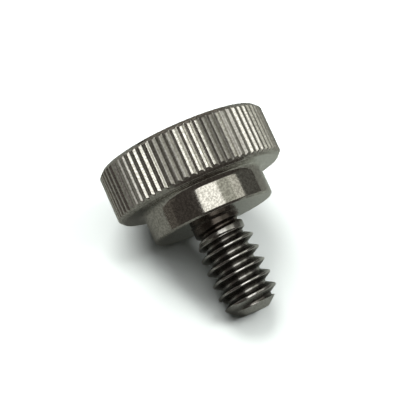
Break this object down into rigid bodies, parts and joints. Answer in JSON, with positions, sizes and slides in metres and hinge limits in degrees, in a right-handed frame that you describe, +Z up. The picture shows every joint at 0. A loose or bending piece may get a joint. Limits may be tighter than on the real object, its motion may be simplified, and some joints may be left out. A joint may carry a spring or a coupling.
{
  "type": "thumb screw",
  "caption": "One-piece turned thumb screw with a straight-knurled head, a plain collar and a short coarse right-hand thread with a chamfered flat tip.",
  "frame": {"origin": "centre of the footprint of the lying screw, on the floor it rests on", "axes": "+Z up; the screw lies in the XZ plane with its tip towards +X and its axis dipping 26 degrees to the floor, resting on the head's lower edge and the thread's end"},
  "size_m": [0.0122, 0.0102, 0.0104],
  "materials": {
    "turned_steel": "bright turned steel with a slight warm grey tone and a fine satin grain"
  },
  "bodies": {
    "root": {"thumb_screw": "turned_steel"}
  },
  "joints": []
}
